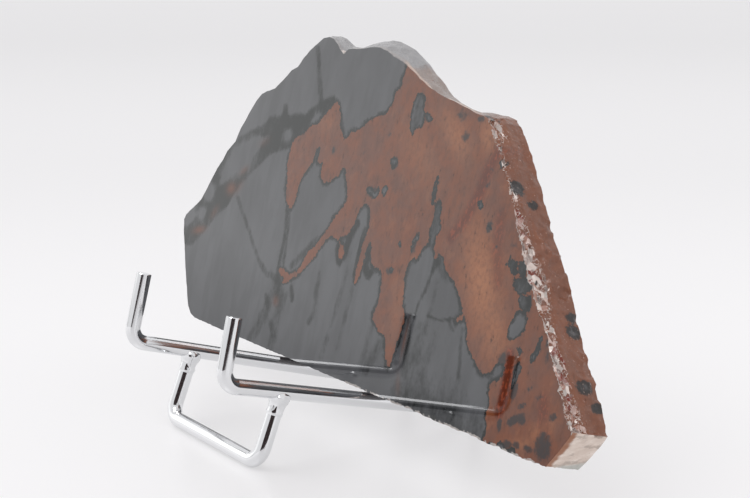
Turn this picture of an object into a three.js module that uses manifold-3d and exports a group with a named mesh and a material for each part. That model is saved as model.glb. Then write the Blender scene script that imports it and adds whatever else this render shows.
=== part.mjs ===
import * as THREE from 'three';
import { mergeVertices } from 'three/addons/utils/BufferGeometryUtils.js';
import Module from 'manifold-3d';

// A polished slab of mahogany obsidian on a bent wire easel. Millimetres, +Z up.
// X runs along the slab, Y from the hooks towards the backrest.

// Wire
const WIRE_RADIUS = 2;          // half the distance between opposite flats
const WIRE_SIDES = 12;
const BEND = 4.2;               // centreline radius of the hook, rear and rung bends
const TOP_BEND = 6;             // centreline radius of the two upper corners of the backrest
const GAP = 0.3;                // air left between pieces that touch

// Easel, sizes along the wire's centreline
const FRONT_HALF_WIDTH = 25.12; // half the distance between the two front corners
const FRONT_HEIGHT = 24.16;     // front corners above the table
const ARM_TILT = 15.39;         // degrees, arms run down towards the back
const ARM_SPLAY = 5.82;         // degrees, each arm closes in towards the back
const HOOK_LEAN = 13.8;         // degrees, hooks lean back
const HOOK_RIGHT = 16.7;        // corner to cut end
const HOOK_LEFT = 18.4;
const UPRIGHT_LEAN = 11;        // degrees, backrest leans forward

// Front foot, a U of the same wire welded under the arms
const FOOT_WELD_Y = 17.5;       // where its legs meet the arms
const FOOT_RUNG_Y = 10.7;       // where its rung lies on the table
const WELD_RADIUS = 3;
const WELD_LENGTH = 3.4;

// Slab
const SLAB_THICKNESS = 10.2;
const SLAB_LEAN = 14.8;         // degrees, leans back
const SLAB_FRONT_Y = 43.28;     // front lower edge, measured back from the front corners

const rad = THREE.MathUtils.degToRad;
const tilt = rad(ARM_TILT);
const splay = rad(ARM_SPLAY);
const lean = rad(SLAB_LEAN);
const V = (x, y, z) => new THREE.Vector3(x, y, z);

// Angles from one value to another, in steps of about 14 degrees.
function spread(from, to) {

	const steps = Math.ceil((to - from) / rad(14) - 1e-6);
	const angles = [from];
	for (let k = 1; k <= steps; k++) angles.push(from + (to - from) * k / steps);
	return angles;

}

// A wire of straight runs and round bends. The points are close together in the bends only, and
// each section is turned with the bend, so that its flats stay level where the wire lies level.
class BentWire extends THREE.Curve {

	constructor(corners) {

		super();
		this.rings = [];
		const last = corners.length - 1;
		corners.forEach(({ at, bend, level }, i) => {

			const before = i > 0 && at.clone().sub(corners[i - 1].at).normalize();
			const after = i < last && corners[i + 1].at.clone().sub(at).normalize();
			if (!before || !after) {

				this.rings.push({ point: at, tangent: before || after });
				return;

			}

			const turn = before.angleTo(after);
			const side = after.clone().addScaledVector(before, -after.dot(before)).normalize();
			const plane = before.clone().cross(side);
			const start = at.clone().addScaledVector(before, -bend * Math.tan(turn / 2));
			const centre = start.clone().addScaledVector(side, bend);
			const flat = level ? Math.atan2(-before.z, side.z) : 0;
			const reach = level ? Math.min(flat, turn - flat) : 0;
			const angles = spread(0, flat - reach);
			if (level) angles.push(flat - reach / 3, flat + reach / 3);
			angles.push(...spread(flat + reach, turn));
			for (const a of angles) {

				this.rings.push({
					point: centre.clone().addScaledVector(side, -bend * Math.cos(a))
						.addScaledVector(before, bend * Math.sin(a)),
					tangent: before.clone().multiplyScalar(Math.cos(a)).addScaledVector(side, Math.sin(a)),
					plane,
				});

			}

		});
		this.rings[0].plane = this.rings.find((r) => r.plane)?.plane || V(0, 0, 1).cross(this.rings[0].tangent);
		this.rings[this.rings.length - 1].plane = this.rings[this.rings.length - 2].plane || this.rings[0].plane;

	}

	get steps() {

		return this.rings.length - 1;

	}

	getPoint(t) {

		return this.rings[Math.round(t * this.steps)].point.clone();

	}

	getPointAt(t) {

		return this.getPoint(t);

	}

	computeFrenetFrames() {

		const tangents = [], normals = [], binormals = [];
		let last = this.rings[0].plane;
		for (const { tangent, plane } of this.rings) {

			const out = plane.clone().normalize();
			const across = tangent.clone().cross(out).normalize();
			const choices = [out, out.clone().negate(), across, across.clone().negate()];
			last = choices.reduce((a, b) => (b.dot(last) > a.dot(last) ? b : a));
			tangents.push(tangent.clone());
			normals.push(last.clone());
			binormals.push(tangent.clone().cross(last));

		}

		return { tangents, normals, binormals };

	}

}

// The wire's section: a regular polygon with flats at the given distance from its centre.
function section(radius, roll = 0) {

	const points = [];
	for (let k = 0; k < WIRE_SIDES; k++) {

		const a = roll + (k + 0.5) * 2 * Math.PI / WIRE_SIDES;
		const r = radius / Math.cos(Math.PI / WIRE_SIDES);
		points.push(new THREE.Vector2(r * Math.cos(a), r * Math.sin(a)));

	}

	return new THREE.Shape(points);

}

function wireGeometry(corners, radius, roll) {

	const extrudePath = new BentWire(corners);
	return new THREE.ExtrudeGeometry(section(radius, roll), {
		steps: extrudePath.steps,
		bevelEnabled: false,
		extrudePath,
	});

}

// Points of one side of the easel, s back along the ground from the front corner and z up.
// Each side lies in an upright plane of its own, which closes in towards the back.
function sidePoint(side, s, z) {

	return V(side * (FRONT_HALF_WIDTH - s * Math.sin(splay)), s * Math.cos(splay), z);

}

const armHeight = (s) => FRONT_HEIGHT - s * Math.tan(tilt);

// The rear bends lie on the table on a short level flat.
const rearTurn = tilt + rad(90 + UPRIGHT_LEAN);
const rearZ = WIRE_RADIUS * Math.cos(tilt / 3) + BEND * (Math.cos(tilt / 3) - Math.cos(tilt))
	- BEND * Math.tan(rearTurn / 2) * Math.sin(tilt);
const rearS = (FRONT_HEIGHT - rearZ) / Math.tan(tilt);

// The slab's front lower edge rests on the arms.
const contactS = SLAB_FRONT_Y / Math.cos(splay);
const slabZ = armHeight(contactS) + WIRE_RADIUS / Math.cos(tilt) + GAP;

// The crossbar touches the slab's back: both are straight lines in the side view.
const backY = SLAB_FRONT_Y + SLAB_THICKNESS * Math.cos(lean);
const backZ = slabZ - SLAB_THICKNESS * Math.sin(lean);
const uprightSlope = Math.tan(rad(UPRIGHT_LEAN)) * Math.cos(splay);
const touch = (WIRE_RADIUS + GAP) / Math.cos(lean);
const crossbarZ = (rearS * Math.cos(splay) + rearZ * uprightSlope - backY - touch + backZ * Math.tan(lean))
	/ (Math.tan(lean) + uprightSlope);
const crossbarS = rearS - (crossbarZ - rearZ) * Math.tan(rad(UPRIGHT_LEAN));

function sideCorners(side, hook) {

	const h = rad(HOOK_LEAN);
	return [
		{ at: sidePoint(side, hook * Math.sin(h), FRONT_HEIGHT + hook * Math.cos(h)) },
		{ at: sidePoint(side, 0, FRONT_HEIGHT), bend: BEND },
		{ at: sidePoint(side, rearS, rearZ), bend: BEND, level: true },
		{ at: sidePoint(side, crossbarS, crossbarZ), bend: TOP_BEND },
	];

}

// Boolean cuts work on merged, closed meshes.
const wasm = await Module();
wasm.setup();

function toSolid(geometry) {

	const bare = geometry.index ? geometry.toNonIndexed() : geometry.clone();
	for (const name of Object.keys(bare.attributes)) if (name !== 'position') bare.deleteAttribute(name);
	const merged = mergeVertices(bare, 1e-3);
	return new wasm.Manifold(new wasm.Mesh({
		numProp: 3,
		vertProperties: merged.attributes.position.array,
		triVerts: new Uint32Array(merged.index.array),
	}));

}

function toGeometry(solid) {

	const mesh = solid.getMesh();
	const indexed = new THREE.BufferGeometry();
	indexed.setAttribute('position', new THREE.BufferAttribute(mesh.vertProperties, 3));
	indexed.setIndex(new THREE.BufferAttribute(mesh.triVerts, 1));
	const geometry = indexed.toNonIndexed();
	geometry.computeVertexNormals();
	return geometry;

}

// Main wire: right hook, right arm, backrest, left arm, left hook, all in one piece.
const frameGeometry = wireGeometry([
	...sideCorners(1, HOOK_RIGHT),
	...sideCorners(-1, HOOK_LEFT).reverse(),
], WIRE_RADIUS);

// Foot wire: a leg goes down and forward from each arm, and the rung lies flat on the table.
const weldS = FOOT_WELD_Y / Math.cos(splay);
const rightWeld = sidePoint(1, weldS, armHeight(weldS));
const leftWeld = sidePoint(-1, weldS, armHeight(weldS));
const rightRung = V(rightWeld.x, FOOT_RUNG_Y, WIRE_RADIUS);
const leftRung = V(leftWeld.x, FOOT_RUNG_Y, WIRE_RADIUS);
const legLean = Math.atan2(FOOT_WELD_Y - FOOT_RUNG_Y, rightWeld.z - WIRE_RADIUS);
let foot = toSolid(wireGeometry([
	{ at: rightWeld },
	{ at: rightRung, bend: BEND },
	{ at: leftRung, bend: BEND },
	{ at: leftWeld },
], WIRE_RADIUS, -legLean));
for (const [weld, rung] of [[rightWeld, rightRung], [leftWeld, leftRung]]) {

	// The weld widens towards the arm.
	const up = weld.clone().sub(rung).normalize();
	const bead = new THREE.CylinderGeometry(WELD_RADIUS, WIRE_RADIUS * 0.98, WELD_LENGTH, 16);
	bead.applyQuaternion(new THREE.Quaternion().setFromUnitVectors(V(0, 1, 0), up));
	const middle = weld.clone().addScaledVector(up, -0.8 - WELD_LENGTH / 2);
	bead.translate(middle.x, middle.y, middle.z);
	foot = foot.add(toSolid(bead));

}

for (const side of [1, -1]) {

	const arm = [{ at: sidePoint(side, 0, armHeight(0)) }, { at: sidePoint(side, rearS, rearZ) }];
	foot = foot.subtract(toSolid(wireGeometry(arm, WIRE_RADIUS + GAP)));

}

const footGeometry = toGeometry(foot);

// Slab outline, counter-clockwise as seen from the front. Each row holds the front face's edge and
// the back face's edge: along the slab and up its face, from the middle of the arms.
const OUTLINE = [
	// Sawn lower edge
	[-72, 0.2, -71.4, 0.2], [-60, 0, -60, 0.1], [-45, 0, -45, 0], [-30, 0, -30, 0.1], [-15, 0, -15, 0],
	[0, 0, 0, 0], [15, 0, 15, 0.1], [30, 0, 30, 0], [45, 0, 45, 0.1], [60, 0, 60, 0], [75, 0, 75, 0.1],
	[88, 0, 87.6, 0],
	// Small matt facet at the lower right corner
	[93.5, 0.4, 93.2, 0.2], [96.2, 4.2, 95.8, 3.4], [98.6, 8, 98.6, 7.4], [99.4, 9.6, 99.9, 9.8],
	// Broken right edge
	[98, 11.6, 98.7, 12.2], [95.7, 14.4, 96.4, 15.8], [93.1, 18.1, 94, 19.2], [90.6, 21.6, 90.8, 23],
	[87.7, 25.1, 87.6, 26.4], [84.7, 29, 84.6, 30], [81.1, 33.3, 81.6, 34.3], [77.1, 37.6, 78.2, 39.2],
	[73.7, 41.7, 75.2, 43.6], [70.8, 45.9, 71.6, 47.8], [67.4, 50.5, 68, 51.2], [63.8, 55.4, 64.8, 55],
	[60.7, 59.4, 61.6, 59.4], [57.7, 63.1, 57.6, 64], [54.9, 66.6, 54.6, 67.8], [51.6, 70.4, 51.4, 71.4],
	[49, 73.8, 48.2, 74.4],
	// Top, with two smooth shell-like hollows
	[47.4, 74.6, 46, 75.8], [42.8, 75.2, 42.4, 76.4], [38, 76.2, 38, 76], [34, 77.1, 34.4, 75.6],
	[29, 78, 29, 76.4], [25, 78.9, 24.6, 77.2], [21, 80, 19, 79.2], [17, 81.5, 14, 82],
	[13.5, 83.1, 9.6, 84.2], [10.5, 84.2, 5.6, 86.6], [6.5, 85.7, 1, 88.8], [3, 86.6, -2.4, 90.2],
	[0.8, 87.4, -6, 91.3], [-2, 88.2, -10, 91.9], [-5, 88.6, -14, 92], [-9, 88.3, -18, 91.6],
	[-13, 87.6, -21.6, 90.8], [-17, 87.4, -25, 89.6], [-19.3, 87, -28, 88.9], [-21.2, 85.9, -31, 89.2],
	[-23, 86.6, -34, 90.3], [-25, 88.2, -37, 91.4], [-27.5, 89.6, -40, 91.8], [-30, 89.9, -42.6, 91.6],
	[-33, 89.4, -44.6, 90.4],
	// Left shoulder, down to the point at the left end
	[-35.5, 87.6, -46.4, 88.2], [-38.5, 85.6, -48.4, 85.6], [-41.5, 83, -50, 83], [-43.4, 80.4, -51.6, 80.4],
	[-46.5, 79, -53.4, 78], [-49.8, 76, -55.6, 75.4], [-53.3, 73, -58, 73.2], [-57.5, 72, -60.4, 71.6],
	[-59.9, 71, -62.4, 70], [-62.2, 68.8, -64.4, 67.4], [-65.2, 64.4, -67, 63.4], [-68, 59.6, -69.4, 59],
	[-69.6, 55.4, -71, 55.6], [-73.2, 52.2, -73.4, 51.6], [-74.8, 49, -75.4, 48.6], [-77, 46.2, -77.4, 45.4],
	[-79, 42.6, -79.6, 41.8], [-81, 39, -81.4, 38], [-83, 35.6, -83.6, 34.8], [-86.4, 32.6, -86.6, 31.6],
	[-90.2, 29.8, -89.6, 29], [-91.1, 28, -90.6, 27.4],
	// Left edge and its rounded lower corner
	[-89.8, 25, -89, 24.2], [-87, 19.8, -86.4, 19.4], [-84.6, 15.2, -83.8, 14.6], [-81.7, 10.2, -81, 9.8],
	[-79, 5.6, -78.4, 5.4], [-77, 2.6, -76.2, 2.4], [-74.6, 0.9, -74, 0.8],
];
const ROUGH_FROM = 16;          // the sawn lower edge and the matt facet before this row stay flat
const DEPTHS = [0, 0.22, 0.5, 0.78, 1];
const ROUGHNESS = 0.45;         // height of the broken edge's relief

function slabGeometry() {

	const count = OUTLINE.length;
	const rings = DEPTHS.map((f) => OUTLINE.map(([x0, z0, x1, z1], i) => {

		const [xa, za] = OUTLINE[(i + 1) % count];
		const [xb, zb] = OUTLINE[(i + count - 1) % count];
		const out = new THREE.Vector2(za - zb, xb - xa).normalize();
		const rough = i >= ROUGH_FROM && f > 0 && f < 1
			? ROUGHNESS * (Math.sin(i * 1.9 + f * 5) + Math.sin(i * 0.8 - f * 9)) / 2 : 0;
		return V(
			x0 + (x1 - x0) * f + out.x * rough,
			SLAB_THICKNESS * f,
			z0 + (z1 - z0) * f + out.y * rough,
		);

	}));
	const positions = [];
	const triangle = (a, b, c) => positions.push(a.x, a.y, a.z, b.x, b.y, b.z, c.x, c.y, c.z);
	for (let k = 0; k + 1 < rings.length; k++) {

		for (let i = 0; i < count; i++) {

			const j = (i + 1) % count;
			triangle(rings[k][i], rings[k + 1][j], rings[k][j]);
			triangle(rings[k][i], rings[k + 1][i], rings[k + 1][j]);

		}

	}

	const first = rings[0], back = rings[rings.length - 1];
	const flat = (ring) => ring.map((p) => new THREE.Vector2(p.x, p.z));
	for (const [a, b, c] of THREE.ShapeUtils.triangulateShape(flat(first), [])) triangle(first[a], first[b], first[c]);
	for (const [a, b, c] of THREE.ShapeUtils.triangulateShape(flat(back), [])) triangle(back[a], back[c], back[b]);
	const geometry = new THREE.BufferGeometry();
	geometry.setAttribute('position', new THREE.Float32BufferAttribute(positions, 3));
	geometry.computeVertexNormals();
	return geometry;

}

const steel = new THREE.MeshStandardMaterial({ name: 'bright_steel', color: 0xd4d6d8, roughness: 0.08, metalness: 1 });
const steelFoot = steel.clone();
const obsidian = new THREE.MeshStandardMaterial({ name: 'obsidian', color: 0x4a2c24, roughness: 0.06, metalness: 0 });

function named(name, geometry, material) {

	const mesh = new THREE.Mesh(geometry, material);
	mesh.name = name;
	return mesh;

}

const slab = named('slab', slabGeometry(), obsidian);
const leaning = new THREE.Group();
leaning.rotation.x = -lean;
leaning.position.set(0, SLAB_FRONT_Y, slabZ);
leaning.add(slab);

const easel = new THREE.Group();
easel.add(named('easel_frame', frameGeometry, steel), named('front_foot', footGeometry, steelFoot));

const display = new THREE.Group();
display.add(leaning, easel);

// The part's origin is the middle of its bounding box on the table.
display.updateMatrixWorld(true);
const box = new THREE.Box3().setFromObject(display, true);
display.position.set(-(box.min.x + box.max.x) / 2, -(box.min.y + box.max.y) / 2, -box.min.z);

const part = new THREE.Group();
part.add(display);

export default part;
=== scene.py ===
import math
import random

import bmesh
import bpy
import numpy as np
from mathutils import Matrix, Vector, noise
from mathutils.kdtree import KDTree


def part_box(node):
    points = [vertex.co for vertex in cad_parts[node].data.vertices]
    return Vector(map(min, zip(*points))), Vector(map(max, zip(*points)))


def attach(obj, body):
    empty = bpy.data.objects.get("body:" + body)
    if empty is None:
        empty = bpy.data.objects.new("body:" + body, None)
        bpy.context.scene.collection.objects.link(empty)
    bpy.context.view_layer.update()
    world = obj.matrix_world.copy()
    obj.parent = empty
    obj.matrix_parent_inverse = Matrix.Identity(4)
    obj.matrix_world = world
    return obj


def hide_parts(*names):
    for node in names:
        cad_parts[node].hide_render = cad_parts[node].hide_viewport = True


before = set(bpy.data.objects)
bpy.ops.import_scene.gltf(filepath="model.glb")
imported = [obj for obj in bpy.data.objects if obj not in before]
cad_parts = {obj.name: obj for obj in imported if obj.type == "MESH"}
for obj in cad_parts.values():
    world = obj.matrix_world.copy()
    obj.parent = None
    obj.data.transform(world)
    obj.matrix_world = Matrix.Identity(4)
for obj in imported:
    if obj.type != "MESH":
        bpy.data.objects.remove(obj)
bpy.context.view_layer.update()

bl_info = {
    "name": "Obsidian slab on an easel",
    "version": (1, 0, 0),
    "blender": (4, 5, 0),
    "location": "3D View > Sidebar > Slab",
    "description": "A polished slab of mahogany obsidian leaning on a bent wire easel",
    "category": "Object",
}

MM = 0.001
LEAN = math.radians(14.8)
THICKNESS = 10.2
SLAB_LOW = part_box("slab")[0]
FOOT_LOW, FOOT_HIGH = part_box("front_foot")

# The slab's own axes: u along it, d into it from the polished face, v up the face. The middle of
# the easel is at u = 0 and the sawn lower edge at v = 0.
SLAB_AXES = Matrix.Rotation(-LEAN, 4, "X")
SLAB_ORIGIN = Vector((
    (FOOT_LOW[0] + FOOT_HIGH[0]) / 2,
    SLAB_LOW[1],
    SLAB_LOW[2] + THICKNESS * MM * math.sin(LEAN),
))
TO_TABLE = Matrix.Translation(SLAB_ORIGIN) @ SLAB_AXES @ Matrix.Scale(MM, 4)

# How far the slab's mesh is cut into cells: axis, lowest and highest place on it, in millimetres.
CUT_RANGES = ((0, -96, 101), (2, -2, 94), (1, -1, 12))

# The easel, in millimetres and radians: bend radii, how steeply the arms slope down and close in
# towards the rear, how far the hooks lean back and the rear uprights lean forward, the front
# corners, the hooks' lengths, and how far behind the front corners the welds, the foot's rung and
# the slab are. The last value is from the slab's back to the middle of the crossbar.
BEND = 4.2
TOP_BEND = 6
TILT = math.radians(15.39)
SPLAY = math.radians(5.82)
HOOK_LEAN = math.radians(13.8)
UPRIGHT_LEAN = math.radians(11)
FRONT_HALF_WIDTH = 25.12
FRONT_HEIGHT = 24.16
HOOK_LENGTHS = {1: 16.7, -1: 18.4}
FOOT_WELD_Y = 17.5
FOOT_RUNG_Y = 10.7
SLAB_FRONT_Y = 43.28
TOP_BAR_TO_SLAB = 2.3

# The point on the table under the middle of the easel's front corners.
EASEL_ORIGIN = Vector((SLAB_ORIGIN.x, SLAB_ORIGIN.y - SLAB_FRONT_Y * MM, 0))

# The camera's place from the easel's origin, in millimetres, and its angles in degrees.
CAMERA_PLACE = Vector((350.85, -176.33, 132.88))
CAMERA_DOWN = 11.56
CAMERA_TURN = 55.9

# Level directions: the way the camera looks, from the slab to the screen, and along the screen.
VIEW_DIRECTION = (-0.828, 0.561, 0)
TO_SCREEN = Vector((-0.873, -0.484, 0))
ALONG_SCREEN = Vector((0.484, -0.873, 0))

# Colours of the finishes that have no slider.
DARK_BROWN = (0.085, 0.036, 0.024)
DEEP_RED = (0.090, 0.014, 0.005)
LIT_RED = (0.22, 0.040, 0.014)
SPOT_BLACK = (0.030, 0.026, 0.027)
CHIPPED_GREY = (0.40, 0.37, 0.35)
# A lighter, more orange brown for the broken faces.
BROKEN_BROWN = (0.32, 0.125, 0.068)
# Painted reflection: the sheen of the overhead light on the scooped top, pink over the mahogany and paler
# near the front face.
PINK_PAINTED_SHEEN = (0.25, 0.195, 0.17)
PALE_SHEEN_LIP = (0.60, 0.43, 0.34)
RED_SHARD = (0.21, 0.018, 0.008)
SCRATCHED = (0.52, 0.36, 0.30)
RIND_PALE = (0.80, 0.70, 0.63)
RIND_SPECK = (0.40, 0.26, 0.19)
RIND_FRINGE = (0.27, 0.09, 0.03)
RIND_LOW = (0.42, 0.45, 0.43)
FLAG_BLACK = (0.03, 0.018, 0.018)


def colour(name, description, default):
    """A colour that a user can change."""
    return bpy.props.FloatVectorProperty(
        name=name, description=description, subtype="COLOR", default=default, min=0, max=1
    )


def brightness(name, description, default):
    """A strength of light that a user can change."""
    return bpy.props.FloatProperty(name=name, description=description, default=default, min=0)


class SlabSettings(bpy.types.PropertyGroup):
    """Sizes and colours of the slab."""

    cell: bpy.props.FloatProperty(
        name="Mesh cell", description="Spacing of the slab's mesh, in millimetres", default=0.7, min=0.4,
        max=4,
    )
    glass: colour("Black glass", "Body colour of the clear black glass", (0.088, 0.090, 0.096))
    border: colour("Dark border", "Colour of the veins and of the rims of the patches", (0.009, 0.011, 0.011))
    mahogany: colour("Mahogany", "Colour of the red-brown patches", (0.168, 0.053, 0.024))
    warm: colour("Light mahogany", "Colour of the lighter, warmer brown", (0.315, 0.124, 0.056))
    crushed: colour(
        "Crushed glass", "Palest colour of the splintered glass along the ridge", (0.85, 0.74, 0.68)
    )
    # Painted reflection: colour of the sheen that the overhead light paints on the scooped top.
    skin: colour("Painted sheen", "Colour of the painted sheen on the scooped top", (0.27, 0.265, 0.27))
    rind: colour("Rind", "Colour of the matt facet at the lower corner", (0.66, 0.55, 0.48))
    polish: bpy.props.FloatProperty(
        name="Polish roughness", description="Roughness of the polished faces", default=0.035, min=0, max=1,
        subtype="FACTOR",
    )


class EaselSettings(bpy.types.PropertyGroup):
    """Sizes and colour of the easel."""

    radius: bpy.props.FloatProperty(
        name="Wire radius", description="Radius of the round wire", default=2 * MM, min=0.5 * MM,
        subtype="DISTANCE", unit="LENGTH",
    )
    steel: colour("Steel", "Colour of the bright steel", (0.78039, 0.78824, 0.80))


class StageSettings(bpy.types.PropertyGroup):
    """Floor, light and camera."""

    floor: colour("Floor", "Colour of the floor", (0.40, 0.396, 0.40))
    fill: brightness("Floor glow", "Light from the floor itself, which softens the shadows", 0.46)
    room: brightness("Room light", "Brightness of the even light from all sides", 0.88)
    sun: brightness("Soft sun", "Brightness of the wide light from above", 0.7)
    screen: brightness("Screen", "Brightness of the screen that the polished face mirrors", 1.42)
    strip: brightness("Overhead strip", "Brightness of the strip that the wires mirror", 8)
    focal: bpy.props.FloatProperty(
        name="Lens", description="Focal length in millimetres", default=76.8, min=20
    )


# Markings of the slab, all in millimetres of u and v.

# Edge of the large mahogany area, from the top edge down round the two black lobes to the lower edge.
MAHOGANY = [
    (9.8, 84.6), (8.8, 81.2), (9.2, 79), (7.4, 77), (7, 74.8), (5.8, 72.6), (4.8, 71), (2, 70.3), (0, 69.4),
    (-2.6, 68.2), (-4.6, 66.4), (-7, 65.2), (-9.6, 64.4), (-10.6, 62.8), (-12.4, 62.4), (-13.6, 64.2),
    (-15.2, 65.6), (-16, 68), (-17.2, 70.2), (-19, 72), (-20.8, 71.2), (-22.4, 69.4), (-24.6, 67.4),
    (-26.6, 65.2), (-30, 64.2), (-32, 62), (-34.6, 60.8), (-37, 59.6), (-37.8, 56.4), (-38, 52.6),
    (-36.8, 49.8), (-36, 46.6), (-34.8, 43), (-33, 41), (-31, 40.4), (-29.9, 43), (-29.6, 47), (-28.4, 50),
    (-26.6, 52.6), (-25, 54.8), (-24.4, 58), (-23.2, 59.4), (-22.6, 57), (-22.8, 55), (-21, 54.6),
    (-19.8, 55), (-20.2, 52.6), (-19.2, 50.6), (-17, 49.8), (-14.6, 50.2), (-12.8, 51.6), (-10.8, 52.6),
    (-9.8, 54.6), (-8.4, 54.8), (-7.4, 52.8), (-6.2, 50.6), (-5, 48.2), (-4.8, 46), (-6.6, 43.4),
    (-8.6, 41.2), (-9.8, 39), (-11.4, 36.8), (-13.2, 34.6), (-14.8, 32.4), (-17, 30.8), (-18.6, 28.8),
    (-19.6, 26.4), (-21, 24.2), (-23.4, 22.9), (-25.6, 22.4), (-28, 23.2), (-30.6, 23), (-30.2, 21.9),
    (-27.2, 21.1), (-27.6, 19.4), (-25.6, 19.9), (-22.6, 21.6), (-19.6, 23.6), (-17.6, 25.6), (-15.6, 27.6),
    (-14, 29.4), (-12.8, 31.6), (-10.8, 33.8), (-9.4, 35.6), (-6.6, 36), (-4.4, 35.4), (-3.2, 37),
    (-1.4, 37.2), (0, 38.8), (1.2, 41), (1.8, 43.6), (3.2, 46.2), (4.8, 47), (6.6, 46), (7.6, 43.6),
    (8, 40), (7, 36.8), (7, 33), (6.6, 29), (6.8, 26), (8, 26.4), (8.8, 30), (9.2, 34.6), (10, 37.4),
    (11, 36.6), (11.6, 34), (13.4, 31.8), (15.4, 31.4), (17.2, 31), (18.6, 29.4), (19.2, 26), (19.4, 22.6),
    (18.4, 20.4), (18.4, 18.6), (20.4, 17), (22.6, 15.6), (24.6, 15.8), (26, 13.4), (27, 10.8), (28.2, 9),
    (29.2, 8.2), (30, 9), (30.2, 10.6), (30.6, 14), (31.4, 18), (31.6, 21.4), (30.4, 23.2), (29.4, 25.6),
    (28.8, 28.4), (28, 31.4), (28.4, 34.6), (30, 36.6), (31.6, 36.8), (32.6, 39.4), (34.2, 41),
    (36.4, 41.2), (37.8, 39.8), (38.8, 37.8), (40, 39.2), (41.6, 39), (43, 37), (44.8, 35.4), (47, 34.4),
    (49.6, 32.6), (51.6, 30.6), (53, 28.6), (54.2, 26.8), (55.6, 25.4), (57, 23), (57.8, 20.8),
    (59.8, 18.8), (61.8, 17.4), (64, 15.9), (66.2, 15.3), (68.6, 16.4), (69.8, 18.6), (72.4, 18.8),
    (73.2, 16.8), (71.6, 14.8), (69.6, 14), (69.2, 11.6), (70.4, 9), (70, 6), (71.4, 3.4), (71, 0),
    (71, -6), (130, -6), (130, 110), (9.8, 110),
]

# Black islands inside it: closed outlines.
ISLANDS = [
    [(16.9, 77.6), (20.1, 77.5), (20.9, 74.6), (22.1, 71.6), (21.6, 69.4), (19.6, 68.9), (18.3, 66.7),
     (16.7, 68.6), (15.7, 72), (16, 75.6)],
    [(21.6, 72.9), (23.8, 73), (25.4, 71.6), (23.6, 70.9)],
    [(32.7, 58.4), (33.5, 55.5), (33.6, 52), (32.9, 50.6), (31.9, 52), (31.8, 55)],
    [(35, 52.6), (36.8, 51.4), (37.2, 48.2), (38.4, 45.2), (37.3, 43), (36.9, 40), (35, 40.4), (34.6, 42.6),
     (33.6, 44), (34.4, 46.6), (34.2, 50.4)],
    [(65.4, 41.3), (67.4, 42.5), (69.3, 42.5), (69.9, 40.6), (69.8, 39.3), (68.2, 39.2), (67.3, 40.6)],
    [(69.9, 42.8), (72, 42.9), (73.2, 40.8), (73, 39.7), (70.6, 39.6), (70.3, 41)],
    [(69.2, 38.7), (71, 39.1), (73, 39.4), (75.3, 39.9), (76.2, 37.6), (74.2, 36), (71.4, 35.5),
     (69.6, 37)],
    [(72.4, 35.1), (74.6, 35.6), (76.8, 36), (77.2, 33), (75.4, 32), (73.4, 32.6)],
    [(73, 31.6), (75.2, 31.8), (77.2, 30.8), (76.8, 28), (75.2, 25.8), (72.8, 24.7), (71.2, 25.8),
     (71.5, 28.6)],
    [(83.2, 28.2), (83.6, 25.8), (82.8, 22.6), (81.2, 21.2), (80.6, 22.4), (82, 24.8), (82.2, 27)],
    [(75.6, 23.4), (76.6, 24), (78, 23), (76.6, 22.2)],
    [(76.6, 19.6), (78.5, 20.6), (78.2, 17), (77.4, 13.8), (76.2, 15)],
    [(73.2, -1), (74, 1.2), (75.4, 0.4), (77.2, 1.9), (79.4, 0.8), (82, 1.7), (83.4, -1)],
    [(50.2, 53.6), (51.4, 54.7), (52.8, 53.4), (51.6, 52)],
    [(11.4, 59.6), (13, 60.5), (14.7, 59.9), (14, 57.7), (12.4, 57.6)],
    [(3, 50.6), (5.2, 51.6), (7.4, 50.6), (8.6, 52.6), (9.3, 50), (7.6, 48.4), (5.6, 49.2)],
    [(10.6, 52.6), (12.4, 52.8), (13, 51), (11.6, 49.9), (10.4, 50.8)],
    [(27.6, 39), (28.6, 42), (30, 43.4), (30.4, 41.4), (29, 39.6), (28.8, 37.8)],
    [(20.6, 31.6), (21.8, 33), (22.5, 31.6), (21.4, 30.8)],
    [(22.4, 39.4), (23.4, 39.8), (24, 38.6), (23, 38)],
    [(66, 43.6), (67.6, 42.8), (66.6, 42.2)],
    [(56, 49), (57, 49.6), (57.4, 48.4)],
    [(55, 64), (56, 65.2), (57, 64), (56.2, 63)],
]

# Small mahogany specks in the black.
SPECKS = [
    [(-3.4, 35), (-2, 34.6), (-0.8, 33), (-1, 31.4), (-2.2, 30.8), (-3.2, 32.4)],
    [(51.8, 25.4), (53.6, 26.6), (55, 26.4), (53.4, 25.4), (52, 24.6)],
    [(70.4, 14.4), (72.2, 14.8), (72.4, 13.8), (70.8, 13.4)],
]

# Soft brown clouds in the black glass: u, v, length, width, turn in degrees, strength.
CLOUDS = [
    (-66, 41.2, 2.6, 1.7, 10, 0.75), (-80, 26.3, 3.6, 1.1, 14, 0.8), (-73, 33, 2.6, 1.2, 50, 0.35),
    (-61, 47.4, 2.4, 1, 30, 0.4), (-28.8, 13.9, 1.5, 1.3, 0, 0.55), (-53, 57, 3, 1.2, 20, 0.2),
    (-62, 42, 3, 1.5, 40, 0.3), (34.8, 5, 0.9, 2.6, 18, 0.28), (33.6, 16, 0.6, 4, 0, 0.5),
]

# Lighter, warmer browns in the mahogany, as the clouds are given.
WARM_BROWNS = [
    (58, 36, 14, 6, -58, 1), (66, 26, 9, 5, -60, 0.7), (36, 69, 9, 4, -35, 0.7), (49, 70, 5, 3, -50, 0.8),
    (24, 62, 12, 5, -30, 0.35), (28, 24, 3, 9, 0, 0.3), (90, 8, 4, 2, 40, 0.9), (84, 3, 5, 1.4, 20, 0.6),
    (12, 22, 3, 8, 0, 0.35), (-22, 66, 5, 3, 0, 0.3),
]

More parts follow.
